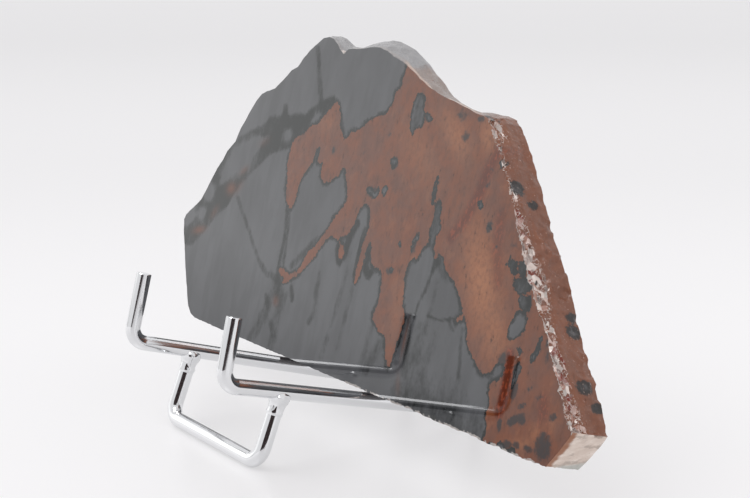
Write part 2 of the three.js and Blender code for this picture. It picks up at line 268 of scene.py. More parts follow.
# Soft dark spots in the mahogany, as the clouds are given.
DARK_SPOTS = [
    (91.2, 4.4, 2.6, 3, 20, 1), (79.8, 7.6, 2.6, 1, 35, 1), (82.6, 8.4, 1, 1.4, 0, 0.9),
    (78, 13.6, 0.9, 2, -10, 1), (77, 18.6, 0.9, 2.2, 0, 0.9), (92.4, 11.4, 1.4, 0.8, 30, 0.8),
    (86.6, 14.4, 1.6, 0.6, 20, 0.6), (82.8, 15.6, 1.2, 0.6, 30, 0.6), (79.5, 1.8, 1.8, 0.9, 20, 0.9),
    (82.6, 2.4, 1.2, 0.8, 0, 0.9), (86.6, 2.6, 1.6, 0.8, 0, 0.8), (86.2, 23.6, 0.6, 1.6, 0, 0.6),
    (71.4, 19.4, 1.3, 2.2, -15, 0.9), (85.2, 26.4, 0.7, 1.6, 10, 0.6), (75.4, 5.4, 0.8, 1.6, 10, 0.9),
    (81.6, 11.4, 1.8, 0.7, 30, 0.7), (66.8, 46, 2.2, 1, 10, 0.4), (56.4, 48.9, 1.2, 1.5, 0, 0.85),
    (60.7, 44.9, 1.4, 0.7, 30, 0.45), (59.2, 53, 0.8, 1.6, 10, 0.35), (52.7, 58.4, 1.8, 0.8, 40, 0.45),
    (52.6, 62.5, 1, 0.8, 0, 0.5), (20.4, 31.6, 1.6, 1, 0, 0.6), (29.2, 39.3, 1, 2.2, -10, 0.7),
    (23.5, 71.9, 1.6, 1.2, 0, 0.7), (40.1, 68.9, 1.6, 1.4, 0, 0.65), (37, 74, 2.8, 1.8, 0, 0.5),
    (44.6, 73.8, 1.6, 0.9, 0, 0.7), (-16, 58.9, 1.2, 1.2, 0, 0.6), (13.4, 59, 1.8, 1.5, 0, 0.7),
    (6, 50.2, 3, 1.6, 15, 0.7), (31, 29, 0.8, 1.8, 0, 0.5), (8.4, 66, 1.4, 1, 0, 0.4),
    (16.6, 47, 0.8, 1.8, 0, 0.35), (-1.4, 59.8, 1.6, 0.8, 0, 0.3), (44.4, 55.6, 0.9, 1.6, 0, 0.35),
]

# Deep red streaks in the mahogany, given as the veins are.
RED_STREAKS = [
    (0.7, 1.4, [(54, 67, 0.5), (51.6, 62, 0.6), (50.2, 56, 0.6), (47.4, 50, 0.5), (43, 44, 0.3)]),
    (0.5, 1.6, [(60, 52, 0.4), (61, 44, 0.6), (64, 37, 0.3)]),
    (0.5, 1.4, [(88, 14, 0.4), (90, 9, 0.8), (92, 4, 0.6)]),
    (0.85, 0.6, [(73.8, 21.4, 1.1), (74.6, 16, 1.3), (74.8, 11, 1.3), (74.4, 8, 1)]),
]

# Dark veins, and two soft darkenings of the lower glass, one of them painted reflection: strength, softness
# in millimetres, then u, v and half width at each point.
VEINS_AND_SHADE = [
    (0.72, 1.2, [(-90, 22.5, 1.8), (-84, 24.6, 2.8), (-79, 29, 2.6), (-74, 34.4, 3), (-69, 38.6, 3)]),
    (0.9, 1.2, [(-69, 38.6, 2.6), (-66.6, 41.4, 2.4), (-62, 45.8, 1.6), (-57, 49.8, 1.4),
                (-54.4, 51.8, 1.5), (-50.4, 55.7, 2), (-45, 58.8, 2.6), (-40, 60.2, 2.8), (-34.6, 63, 2.4),
                (-29.4, 67, 2), (-25.4, 69.6, 1.5), (-22, 71.8, 0.8)]),
    (0.9, 1.1, [(-79.4, 44.6, 1.6), (-75.4, 41.6, 2), (-71.4, 37.6, 1.6)]),
    (0.8, 1.0, [(-84.6, 36, 1), (-80.6, 34.8, 1), (-76, 32.6, 1.2)]),
    (0.9, 1.1, [(-76, 46.6, 1.2), (-69, 54.2, 0.8), (-60.6, 58.4, 0.7), (-55.6, 60, 1), (-50, 62, 2.2),
                (-43, 62.6, 2.6), (-36, 64.6, 1.8)]),
    (0.85, 0.9, [(-45.3, 68.4, 0.3), (-45, 66, 0.5), (-44, 63.6, 1)]),
    (0.7, 0.8, [(-52.4, 63.8, 0.3), (-53, 60.6, 0.8)]),
    (0.5, 1.6, [(-74, 50.6, 0.4), (-76, 46, 0.8), (-80, 40, 0.8), (-84, 33, 0.8)]),
    (0.6, 0.8, [(-61, 39, 0.4), (-57, 35.6, 0.2), (-52, 31.6, 0.2), (-46.5, 27, 0.2), (-42, 23.2, 0.3),
                (-37, 20.6, 0.5), (-31, 20.2, 0.5)]),
    (0.7, 0.9, [(-35, 86, 0.4), (-32.4, 81.6, 0.4), (-30.6, 77.6, 0.4), (-28.6, 74, 0.4),
                (-26.6, 70.6, 0.5)]),
    (0.75, 0.7, [(-33.2, 41, 0.4), (-32, 36, 0.3), (-31.2, 30, 0.3), (-31, 24, 0.4), (-30.6, 20, 0.9)]),
    (0.6, 0.6, [(-31, 39, 0.2), (-30, 34, 0.1), (-29.4, 28, 0.2), (-28.6, 23.6, 0.3)]),
    (0.5, 1.5, [(-30, 19, 1.2), (-31, 14, 1), (-33, 9, 1.4), (-35.6, 5, 1), (-38, 1, 0.5)]),
    (0.45, 1.6, [(-28, 17, 1), (-26.8, 11, 1.2), (-26.4, 6, 1), (-26, 0, 0.6)]),
    (0.4, 1.2, [(-33, 13, 0.4), (-29, 10, 0.6), (-25.4, 13, 0.6), (-24, 17, 0.3)]),
    (0.7, 0.8, [(-22.6, 19.4, 0.3), (-21, 17, 0.4), (-20.6, 15.8, 0.2)]),
    (0.6, 0.9, [(-10.2, 25, 0.3), (-10, 20.6, 0.4), (-8.8, 17.6, 0.5), (-9, 14, 0.6), (-10.4, 11.6, 0.3)]),
    (0.4, 1.0, [(2.6, 33, 0.2), (2.2, 24, 0.4), (1.2, 16, 0.4), (0, 9, 0.4), (-1, 3.6, 0.3)]),
    (0.4, 0.9, [(6.8, 27, 0.3), (6.2, 20, 0.4), (6, 14, 0.3), (5.4, 8, 0.2)]),
    (0.8, 0.6, [(6.6, 40, 0.5), (6.2, 34, 0.6), (6.2, 28, 0.5)]),
    (0.9, 0.7, [(10.6, 35, 0.6), (10.6, 30.6, 0.9), (12.4, 29, 0.9), (14, 30, 0.4)]),
    (0.9, 0.7, [(-4, 35.4, 0.4), (-3.8, 32, 0.5), (-2, 29.8, 0.6), (-0.2, 32, 0.6), (0, 35, 0.8),
                (1, 38.4, 1), (2.4, 41, 1)]),
    (0.7, 0.5, [(39.2, 37.6, 0.9), (38.6, 34, 0.3), (37.6, 30, 0.3), (36, 26, 0.2), (35.4, 22.6, 0.1)]),
    (0.8, 0.35, [(40.6, 24, 0.2), (43.4, 23.6, 0.15), (46.6, 24, 0.15), (50, 25, 0.2), (54.6, 26.4, 0.3)]),
    (0.5, 0.5, [(49.4, 24.4, 0.2), (50.6, 23, 0.2), (51.8, 22.6, 0.1)]),
    (0.4, 1.2, [(17.4, 6, 0.4), (18, 12, 0.4), (19, 17, 0.4)]),
    (0.5, 1.2, [(41, 37.6, 0.8), (42.6, 35.6, 0.6), (45, 34, 0.3)]),
    (0.5, 1.4, [(24, 13, 0.8), (22, 9, 0.8), (20, 5, 0.6)]),
    (0.4, 0.9, [(41.6, 32.6, 0.3), (41.4, 26, 0.3), (41, 20, 0.2)]),
    (0.3, 1.2, [(45, 20, 0.3), (44, 14, 0.3), (43.6, 9, 0.3)]),
    (0.55, 0.6, [(54.8, 23.4, 0.3), (56.2, 18, 0.3), (57.4, 12.4, 0.2)]),
    (0.35, 1.6, [(39.4, 21, 0.6), (39.4, 15, 0.8), (40, 9, 0.6)]),
    # Not one of the veins: darker towards the lower right of the glass.
    (0.2, 7, [(38, 12, 2), (46, 9, 3), (56, 6, 2)]),
    # Not one of the veins: painted reflection of the dark underside, darkening the glass along the lower
    # edge.
    (0.5, 4, [(36, 2, 1), (50, 1.5, 2.4), (68, 0, 3)]),
    (0.6, 0.8, [(-34.6, 14.4, 0.3), (-31, 11, 0.5), (-29, 7.4, 0.6), (-26, 4.4, 0.4)]),
    (0.75, 1, [(66.4, 41.4, 1), (70, 41, 1.8), (72.6, 41, 1.2)]),
    (0.75, 1, [(70.6, 37.4, 1.4), (74, 38, 1.6), (75.4, 34, 1.4)]),
    (0.5, 1, [(18.8, 76, 0.9), (18.8, 72, 0.9), (18.2, 68, 0.6)]),
    (0.55, 1, [(36, 50.6, 0.8), (35.8, 45, 0.8), (35.8, 42, 0.6)]),
    (0.6, 0.7, [(-24.8, 24.6, 0.5), (-19.6, 29.4, 0.6), (-14.6, 34, 0.7)]),
    (0.5, 0.8, [(33.8, 22.4, 0.5), (35, 15, 0.8), (36.4, 8, 0.5)]),
]

# Paler glass inside the dark veins, as the clouds are given.
PALE_SPOTS = [
    (-64.2, 50.8, 7.4, 4.6, 28, 1), (-78.3, 38.4, 2.6, 2.2, 50, 0.9), (-80, 31.5, 2.4, 1.6, 40, 0.8),
    (-57.8, 56.6, 2.4, 1.7, 20, 0.75), (-41, 60.4, 2.2, 1.8, 0, 0.8), (-28, 65.9, 2.6, 1.5, 45, 0.75),
    (-29.6, 10.6, 1.6, 2.6, -20, 0.6), (-72.6, 42.6, 1.6, 1.2, 40, 0.5),
]

# Dark spots on the broken right edge: u, d, v, radius.
EDGE_SPOTS = [
    (60.9, 2.1, 59.6, 2.3), (63.2, 6.3, 56.2, 1.3), (81.8, 8.6, 32.8, 1.3), (83.9, 8.4, 29.8, 1.8),
    (92.8, 6.8, 18.9, 1.9), (95.8, 9.2, 15, 1.5), (48.6, 1.4, 75.2, 1.9), (45.6, 0.6, 75.6, 1.5),
]

# Splintered glass along the front ridge: height v, how far it reaches into the edge, how dense it
# is, and how much of it is deep red.
SPLINTERS = [
    (8.5, 3.4, 0.6, 0), (10.5, 3.4, 0.8, 0.1), (12.5, 2.8, 0.6, 0.1), (14, 3, 0.95, 0.1),
    (15.2, 2.6, 0.8, 0.5), (16, 2.6, 0.8, 1), (16.8, 2.4, 0.9, 0.2), (18.6, 2.4, 1, 0), (19.5, 2.2, 0.8, 1),
    (20.6, 2.2, 0.95, 0.2), (23.6, 2.2, 1, 0), (24.6, 2, 0.8, 0.4), (25.3, 2, 0.8, 1),
    (26.2, 1.8, 0.6, 0.2), (28, 2.4, 0.7, 0), (30.5, 1.8, 0.6, 0.1), (33, 2.2, 0.75, 0.1), (35, 3, 1, 0),
    (38, 3.2, 1, 0), (41, 3, 1, 0.1), (44, 2.8, 0.9, 0.2), (47, 2.4, 0.95, 0), (48.4, 2.2, 1, 0),
    (49.4, 2.2, 0.85, 1), (50.6, 2.2, 0.75, 0.6), (53, 2, 0.6, 0.3), (55, 1.6, 0.3, 0), (57, 1.8, 0.55, 0),
    (58.4, 1.4, 0.5, 0), (62, 1, 0.4, 0), (64.5, 1.2, 0.6, 0), (66.5, 1, 0.35, 0.1), (68.5, 1.4, 0.6, 0),
    (70, 3, 0.95, 0), (72.5, 3.2, 0.9, 0.1), (74.2, 2, 0.6, 0),
]

# Bright chips of pale crushed glass, partly painted highlight where the glass glints: u, d, v, radius.
GLINTS = [(60.4, 0.5, 60.8, 0.9), (52.6, 2, 70.6, 1.2), (-21.4, 0.6, 86.4, 1.7)]


def smooth_loop(points, cuts=3):
    """The closed outline with points added on a curve through the given ones."""
    p = np.array(points, float)
    a, b, c, d = np.roll(p, 1, 0), p, np.roll(p, -1, 0), np.roll(p, -2, 0)
    rows = [
        0.5 * (2 * b + (c - a) * t + (2 * a - 5 * b + 4 * c - d) * t**2 + (3 * b - a - 3 * c + d) * t**3)
        for t in (k / cuts for k in range(cuts))
    ]
    return np.stack(rows, 1).reshape(-1, 2)


def inside_distance(uv, loop):
    """Distance from each point to a closed outline, positive inside it."""
    best = np.full(len(uv), 1e9)
    odd = np.zeros(len(uv), bool)
    x, y = uv[:, 0], uv[:, 1]
    for (ax, ay), (bx, by) in zip(loop, np.roll(loop, -1, 0)):
        ex, ey = bx - ax, by - ay
        t = np.clip(((x - ax) * ex + (y - ay) * ey) / max(ex * ex + ey * ey, 1e-9), 0, 1)
        best = np.minimum(best, (x - ax - t * ex) ** 2 + (y - ay - t * ey) ** 2)
        if ay != by:
            odd ^= ((ay > y) != (by > y)) & (x < ex * (y - ay) / ey + ax)
    return np.where(odd, 1, -1) * np.sqrt(best)


def vein_distance(uv, points):
    """Distance from each point to the side of a vein whose width changes along it."""
    best = np.full(len(uv), 1e9)
    x, y = uv[:, 0], uv[:, 1]
    for (ax, ay, aw), (bx, by, bw) in zip(points, points[1:]):
        ex, ey = bx - ax, by - ay
        t = np.clip(((x - ax) * ex + (y - ay) * ey) / (ex * ex + ey * ey), 0, 1)
        best = np.minimum(best, np.hypot(x - ax - t * ex, y - ay - t * ey) - (aw + (bw - aw) * t))
    return best


def mahogany_distance(uv):
    """Signed distance in millimetres to the mahogany, positive inside it."""
    value = inside_distance(uv, smooth_loop(MAHOGANY))
    for island in ISLANDS:
        value = np.minimum(value, -inside_distance(uv, smooth_loop(island)))
    for speck in SPECKS:
        value = np.maximum(value, inside_distance(uv, smooth_loop(speck)))
    return value


def vein_shade(uv, veins):
    """How strongly the soft lines cover each point, 0 to 1."""
    light = np.ones(len(uv))
    for strength, softness, points in veins:
        away = np.maximum(vein_distance(uv, points), 0) / softness
        light *= 1 - strength * np.exp(-(away**2))
    return 1 - light


def cloud_shade(uv, clouds):
    """How strongly the soft clouds cover each point, 0 to 1."""
    value = np.zeros(len(uv))
    for u, v, length, width, turn, strength in clouds:
        c, s = math.cos(math.radians(turn)), math.sin(math.radians(turn))
        x, y = uv[:, 0] - u, uv[:, 1] - v
        along, across = (x * c + y * s) / length, (y * c - x * s) / width
        value = np.maximum(value, strength * np.exp(-(along**2) - across**2))
    return value


def cut_cells(bm, faces, axis, low, high, cell):
    """Cuts the faces by planes across one axis, a cell apart, halving the range each time."""
    if high - low < 2 or not faces:
        return
    middle = (low + high) // 2
    normal = Vector([float(k == axis) for k in range(3)])
    geom = list(faces)
    geom += list({e for f in faces for e in f.edges}) + list({v for f in faces for v in f.verts})
    cut = bmesh.ops.bisect_plane(bm, geom=geom, dist=1e-5, plane_co=normal * middle * cell, plane_no=normal)
    sides = [[], []]
    for f in cut["geom"]:
        if isinstance(f, bmesh.types.BMFace):
            sides[f.calc_center_median()[axis] > middle * cell].append(f)
    cut_cells(bm, sides[0], axis, low, middle, cell)
    cut_cells(bm, sides[1], axis, middle, high, cell)


def ridge_value(v, column):
    """One column of the splinter table at height v on the right edge."""
    return float(np.interp(v, [r[0] for r in SPLINTERS], [r[column] for r in SPLINTERS], left=0, right=0))


def on_right_edge(u, v):
    """True on the broken right edge and its two ends."""
    return u > 46 and v > 8.5 and u * 0.78 + v > 83


def chip_balls():
    """Balls that take shell-shaped chips out of the edge: centre in u, d, v and radius."""
    rng = random.Random(11)
    balls = []
    ridge = [
        (49, 73.8), (54.9, 66.6), (60.7, 59.4), (67.4, 50.5), (73.7, 41.7), (81.1, 33.3), (87.7, 25.1),
        (93.1, 18.1), (98.6, 10.5),
    ]
    for (au, av), (bu, bv) in zip(ridge, ridge[1:]):
        out = Vector((av - bv, bu - au)).normalized()
        for _ in range(26):
            t = rng.random()
            v = av + (bv - av) * t
            near = rng.random() < 0.72
            depth = rng.uniform(-0.3, 0.5 + ridge_value(v, 1)) if near else rng.uniform(2, 10.6)
            radius = rng.uniform(0.7, 2.3) if near else rng.uniform(0.8, 3.2)
            bite = rng.uniform(0.15, 0.75) * (ridge_value(v, 2) if near else 0.4)
            away = radius - bite
            balls.append((au + (bu - au) * t + out.x * away, depth, v + out.y * away, radius))
    for _ in range(190):
        u = rng.uniform(-70, 92)
        radius = rng.uniform(0.5, 1.7)
        bite = rng.uniform(0.08, 0.75 if u > 30 else 0.35)
        balls.append((u, rng.choice((0, 0, THICKNESS)) + rng.uniform(-0.2, 0.5), bite - radius, radius))
    return balls


def shard_relief(p):
    """Depth of the angular shards at a point: each cell of broken glass has its own tilt and height."""
    q = Vector((p.x * 0.6, p.y * 0.6, p.z * 0.45))
    centre = noise.voronoi(q)[1][0]
    tilt = noise.cell_vector(centre * 9.7)
    return (q - centre).dot(tilt) * 0.9 + noise.cell(centre * 5.3) * 0.28


def rough_edge(bm):
    """Breaks the sawn-looking edges of the solid into natural fracture."""
    bm.normal_update()
    balls = chip_balls()
    normals = {}
    for v in bm.verts:
        out = Vector((0, 0, 0))
        for f in v.link_faces:
            if abs(f.normal.y) < 0.7:
                out += f.normal * f.calc_area()
        if out.length:
            out.y = 0
            normals[v] = out.normalized()
    # The balls are sorted into squares, so that each point looks only at those near it.
    grid = {}
    bucket = 6
    for ball in balls:
        grid.setdefault((int(ball[0] // bucket), int(ball[2] // bucket)), []).append(ball)
    # The deepest bite in millimetres, less deep behind a depth of 4.
    deepest, deepest_behind, behind = 2.2, 1.1, 4
    shifts = {}
    for v, out in normals.items():
        p = v.co.copy()
        sawn = p.z < 0.4 and -72 < p.x < 93.6
        rind = p.x > 92 and p.z < 10 and not sawn
        if sawn:
            push = 0.16 + 0.14 * noise.noise(p * 0.9) + 0.14 * noise.noise(p * 2.3)
        elif rind:
            push = 0.06 + 0.08 * noise.noise(p * 0.7)
        elif on_right_edge(p.x, p.z):
            push = 0.45 + 0.14 * noise.noise(p * 0.2) + 0.15 * noise.noise(p * 0.8)
            push += 0.14 * noise.noise(p * 1.7)
            push += splinter_and_glint_value(p) * max(0, 0.25 + shard_relief(p))
        else:
            push = 0.26 + 0.22 * noise.noise(p * 0.2) + 0.08 * noise.noise(p * 0.6)
        inward = max(push, 0)
        key = (int(p.x // bucket), int(p.z // bucket))
        for i in (-1, 0, 1):
            for j in (-1, 0, 1):
                for u, d, w, radius in grid.get((key[0] + i, key[1] + j), ()):
                    off = p - Vector((u, d, w))
                    along = off.dot(out)
                    rest = radius * radius - (off.length_squared - along * along)
                    if rest > 0:
                        inward = max(inward, along + math.sqrt(rest))
        shifts[v] = -out * min(inward, deepest if p.y < behind else deepest_behind)
    draw_in_faces(bm, shifts)
    for v, shift in shifts.items():
        v.co += shift
    bm.normal_update()


def draw_in_faces(bm, shifts, reach=4.5):
    """Draws the flat faces in beside the rim by as much as the rim moves, less further away."""
    rim = [v for v in shifts if any(abs(f.normal.y) > 0.9 for f in v.link_faces)]
    tree = KDTree(len(rim))
    for i, v in enumerate(rim):
        tree.insert(v.co, i)
    tree.balance()
    for v in bm.verts:
        if v in shifts:
            continue
        found = tree.find_n(v.co, 3)
        away = found[0][2]
        if away < reach:
            weights = [1 / (f[2] + 0.05) for f in found]
            shift = sum((shifts[rim[f[1]]] * w for f, w in zip(found, weights)), Vector()) / sum(weights)
            v.co += shift * (1 - away / reach)


def splinter_and_glint_value(p):
    """How splintered the glass is at a point, 0 to 1, with painted glints at the bright chips."""
    value = 0.0
    if on_right_edge(p.x, p.z):
        reach = ridge_value(p.z, 1)
        value = ridge_value(p.z, 2) * min(1, max(0, 2.6 - 1.7 * p.y / max(reach, 0.1)))
    if p.z < 1.1 and 12 < p.x < 92:
        value = max(value, 0.9 if noise.noise(Vector((p.x * 0.5, 3, 0))) > -0.05 and p.y < 2 else 0)
    for u, d, v, radius in GLINTS:
        value = max(value, 1.4 - (p - Vector((u, d, v))).length / radius)
    return min(value, 1)


def face_nicks(p):
    """How nicked the polished face is at a point, 0 to 1: a little, along the lower edge."""
    return 0.55 * max(0, 1 - p.z / 1.9) if 12 < p.x < 91 and p.y < 1 else 0.0


def painted_sheen_value(p, normal):
    """How much painted sheen lies on the scooped top at a point, 0 to 1: painted reflection of the light
    overhead, strongest where the surface faces up.
    """
    if p.z < 55 or p.y < 0.02:
        return 0.0
    left_end = min(1, max(0, (p.x + 56 + 5 * noise.noise(p * 0.35)) / 12))
    right_end = min(1, max(0, (45 - p.x) / 6))
    return min(1, max(0, 1.6 * normal.z)) * left_end * right_end


def build_slab(settings):
    """The slab as one closed mesh, with its markings kept as distances in attributes."""
    bm = bmesh.new()
    bm.from_mesh(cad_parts["slab"].data)
    bmesh.ops.remove_doubles(bm, verts=bm.verts, dist=1e-6)
    bmesh.ops.transform(bm, matrix=TO_TABLE.inverted(), verts=bm.verts)
    bmesh.ops.dissolve_limit(
        bm, angle_limit=math.radians(0.6), use_dissolve_boundaries=False, verts=bm.verts, edges=bm.edges
    )
    cell = settings.cell
    for axis, low, high in CUT_RANGES:
        cut_cells(bm, bm.faces[:], axis, int(low / cell) - 1, int(high / cell) + 1, cell)
    bmesh.ops.recalc_face_normals(bm, faces=bm.faces)
    rough_edge(bm)
    for f in bm.faces:
        flat = abs(f.normal.y) > 0.985
        c = f.calc_center_median()
        rind = not flat and c.x > 92.8 and c.z < 9.8 and f.normal.x > 0.5
        f.material_index = 0 if flat else 2 if rind else 1
        f.smooth = True
    for e in bm.edges:
        e.smooth = len(e.link_faces) == 2 and e.calc_face_angle(0) < math.radians(38)
    bmesh.ops.triangulate(bm, faces=[f for f in bm.faces if len(f.verts) > 4])
    points = np.array([v.co for v in bm.verts], float)
    # Splintered faces and painted glints on the broken edge, small nicks on the polished face.
    splinters_and_glints = [
        splinter_and_glint_value(v.co) if any(f.material_index for f in v.link_faces) else face_nicks(v.co)
        for v in bm.verts
    ]
    reds = [ridge_value(v.co.z, 3) if on_right_edge(v.co.x, v.co.z) else 0 for v in bm.verts]
    # Painted sheen: paler where the scooped top faces up, as a painted reflection of the light overhead.
    skin = [painted_sheen_value(v.co, v.normal) for v in bm.verts]
    bmesh.ops.transform(bm, matrix=TO_TABLE, verts=bm.verts)
    mesh = bpy.data.meshes.new("slab_stone")
    bm.to_mesh(mesh)
    bm.free()
    uv = points[:, [0, 2]] + points[:, [1]] * np.array([[0.22, 0.05]])
    brown = mahogany_distance(uv)
    for u, d, v, radius in EDGE_SPOTS:
        away = np.linalg.norm((points - np.array([u, d, v])) * np.array([1, 0.8, 1]), axis=1)
        brown = np.where(points[:, 1] > 0.05, np.minimum(brown, away - radius), brown)
    for name, values in (
        ("mahogany", brown),
        # Veins, with the painted reflection that darkens the glass along the lower edge.
        ("vein_and_shade", vein_shade(uv, VEINS_AND_SHADE) * (1 - np.minimum(1, 1.7 * cloud_shade(uv, PALE_SPOTS)))),
        ("red", vein_shade(uv, RED_STREAKS)),
        ("cloud", cloud_shade(uv, CLOUDS)),
        ("warm", cloud_shade(uv, WARM_BROWNS)),
        ("dark", cloud_shade(uv, DARK_SPOTS)),
        ("splinter_and_glint", splinters_and_glints),
        ("deep_red", reds),
        ("skin", skin),
        ("depth", points[:, 1]),
    ):
        layer = mesh.attributes.new(name, "FLOAT", "POINT")
        layer.data.foreach_set("value", np.asarray(values, np.float32))
    return mesh


class Recipe:
    """Short names for building one material's nodes."""

    def __init__(self, name):
        self.material = bpy.data.materials.new(name)
        self.material.use_nodes = True
        self.nodes = self.material.node_tree.nodes
        self.links = self.material.node_tree.links
        self.shader = self.nodes["Principled BSDF"]

    def put(self, socket, value):
        if isinstance(value, bpy.types.NodeSocket):
            self.links.new(value, socket)
        elif value is not None:
            socket.default_value = value

    def attribute(self, name):
        node = self.nodes.new("ShaderNodeAttribute")
        node.attribute_name = name
        return node.outputs["Fac"]

    def place(self, scale=(1, 1, 1), turn=(0, 0, 0)):
        """Object coordinates in millimetres, stretched and turned."""
        coordinates = self.nodes.new("ShaderNodeTexCoord")
        mapping = self.nodes.new("ShaderNodeMapping")
        self.links.new(coordinates.outputs["Object"], mapping.inputs["Vector"])
        mapping.inputs["Rotation"].default_value = turn
        mapping.inputs["Scale"].default_value = [s / MM for s in scale]
        return mapping.outputs["Vector"]

    def noise(self, vector, scale, detail=3.0, roughness=0.55):
        node = self.nodes.new("ShaderNodeTexNoise")
        self.put(node.inputs["Vector"], vector)
        self.put(node.inputs["Scale"], scale)
        self.put(node.inputs["Detail"], detail)
        self.put(node.inputs["Roughness"], roughness)
        return node.outputs["Fac"]

    def cells(self, vector, scale, feature="F1"):
        """A Voronoi node: angular cells, each with its own random colour and centre."""
        node = self.nodes.new("ShaderNodeTexVoronoi")
        node.feature = feature
        self.put(node.inputs["Vector"], vector)
        self.put(node.inputs["Scale"], scale)
        return node.outputs

    def vector(self, operation, a, b, output="Vector"):
        node = self.nodes.new("ShaderNodeVectorMath")
        node.operation = operation
        self.put(node.inputs[0], a)
        self.put(node.inputs[1], b)
        return node.outputs[output]

    def channel(self, tint, name):
        node = self.nodes.new("ShaderNodeSeparateColor")
        self.put(node.inputs["Color"], tint)
        return node.outputs[name]

    def steps(self, value, colours):
        """Flat colours that follow each other as the value grows: (start, colour) rows."""
        node = self.nodes.new("ShaderNodeValToRGB")
        node.color_ramp.interpolation = "CONSTANT"
        self.put(node.inputs["Fac"], value)
        for i, (start, colour) in enumerate(colours):
            stop = node.color_ramp.elements[i] if i < 2 else node.color_ramp.elements.new(start)
            stop.position, stop.color = start, (*colour, 1)
        return node.outputs["Color"]

    def math(self, operation, a, b=None):
        node = self.nodes.new("ShaderNodeMath")
        node.operation = operation
        self.put(node.inputs[0], a)
        self.put(node.inputs[1], b)
        return node.outputs[0]

    def ramp(self, value, low, high, to_low=0.0, to_high=1.0):
        node = self.nodes.new("ShaderNodeMapRange")
        node.interpolation_type = "SMOOTHSTEP"
        self.put(node.inputs["Value"], value)
        for name, number in (("From Min", low), ("From Max", high), ("To Min", to_low), ("To Max", to_high)):
            self.put(node.inputs[name], number)
        return node.outputs["Result"]

    def mix(self, factor, a, b):
        node = self.nodes.new("ShaderNodeMix")
        node.data_type = "RGBA"
        self.put(node.inputs["Factor"], factor)
        self.put(node.inputs["A"], a if isinstance(a, bpy.types.NodeSocket) else (*a, 1))
        self.put(node.inputs["B"], b if isinstance(b, bpy.types.NodeSocket) else (*b, 1))
        return node.outputs["Result"]

    def set(self, name, value):
        self.put(self.shader.inputs[name], value)

    def bump(self, height, strength, distance):
        node = self.nodes.new("ShaderNodeBump")
        self.put(node.inputs["Height"], height)
        self.put(node.inputs["Strength"], strength)
        self.put(node.inputs["Distance"], distance)
        self.put(self.shader.inputs["Normal"], node.outputs["Normal"])


def scaled(tint, factor):
    """A lighter or darker shade of a colour."""
    return [c * factor for c in tint]


def stone_colour(r, s, ragged, rim):
    """Colour of black and mahogany glass from the slab's attributes."""
    fine = r.noise(r.place(), 0.9, 4)
    coarse = r.noise(r.place(), 0.16, 3)
    broad = r.noise(r.place((1, 1, 0.7), (0, math.radians(20), 0)), 0.07, 2)
    spikes = r.noise(r.place((1, 1, 0.5), (0, math.radians(20), 0)), 1.3, 3, 0.6)
    wobble = r.math("MULTIPLY", r.math("SUBTRACT", r.math("ADD", fine, spikes), 1), ragged)
    brown = r.math("ADD", r.attribute("mahogany"), wobble)
    in_brown = r.ramp(brown, -0.12, 0.12)
    reach = r.ramp(coarse, 0.35, 0.65, -0.55 * rim, -1.25 * rim)
    in_rim = r.ramp(brown, reach, r.math("MULTIPLY", reach, 0.25), 0, 0.9)
    mottled = r.noise(r.place((1, 1, 0.6), (0, math.radians(24), 0)), 0.33, 4, 0.6)
    streaks = r.noise(r.place((1, 1, 0.2), (0, math.radians(12), 0)), 0.6, 3)
    uneven = r.math("ADD", r.math("MULTIPLY", streaks, 0.7), r.math("MULTIPLY", mottled, 0.8))
    uneven = r.math("SUBTRACT", r.math("ADD", r.math("MULTIPLY", fine, 0.4), uneven), 0.95)
    # The veins, and the painted reflection that darkens the glass along the lower edge, take the dark border
    # colour.
    ragged_vein_and_shade = r.math("ADD", r.attribute("vein_and_shade"), uneven)
    vein_and_shade = r.math("MULTIPLY", r.ramp(ragged_vein_and_shade, 0.1, 0.95), r.ramp(r.attribute("vein_and_shade"), 0.02, 0.25))
    black = r.mix(r.ramp(broad, 0.35, 0.7), scaled(s.glass, 1.04), scaled(s.glass, 0.84))
    bands = r.noise(r.place((1, 1, 0.1), (0, math.radians(2), 0)), 0.22, 3)
    black = r.mix(r.ramp(bands, 0.42, 0.64, 0, 0.34), black, scaled(s.glass, 0.58))
    black = r.mix(r.math("MAXIMUM", in_rim, vein_and_shade), black, s.border)
    black = r.mix(r.attribute("cloud"), black, scaled(s.mahogany, 0.85))
    cool = (s.mahogany[0] * 0.82, s.mahogany[1] * 1.0, s.mahogany[2] * 1.35)
    tone = r.mix(r.ramp(coarse, 0.38, 0.64), s.mahogany, cool)
    tone = r.mix(r.ramp(mottled, 0.5, 0.66, 0, 0.4), tone, DARK_BROWN)
    tone = r.mix(r.ramp(mottled, 0.44, 0.30, 0, 0.18), tone, s.warm)
    warm = r.math("MULTIPLY", r.attribute("warm"), r.ramp(fine, 0.3, 0.6, 0.55, 1))
    tone = r.mix(warm, tone, s.warm)
    deep = r.mix(r.ramp(spikes, 0.52, 0.60), DEEP_RED, LIT_RED)
    tone = r.mix(r.attribute("red"), tone, deep)
    spot = r.math("ADD", r.attribute("dark"), r.math("MULTIPLY", r.math("SUBTRACT", fine, 0.5), 0.9))
    spot = r.math("MULTIPLY", r.ramp(spot, 0.15, 0.55, 0, 0.92), r.ramp(r.attribute("dark"), 0.05, 0.25))
    tone = r.mix(spot, tone, SPOT_BLACK)
    flow = r.noise(r.place((1, 1, 0.4), (0, math.radians(18), 0)), 0.75, 5, 0.66)
    tone = r.mix(r.ramp(flow, 0.50, 0.62, 0, 0.28), tone, scaled(s.mahogany, 0.5))
    tone = r.mix(r.ramp(flow, 0.63, 0.68, 0, 0.75), tone, scaled(s.mahogany, 0.28))
    return r.mix(in_brown, black, tone)


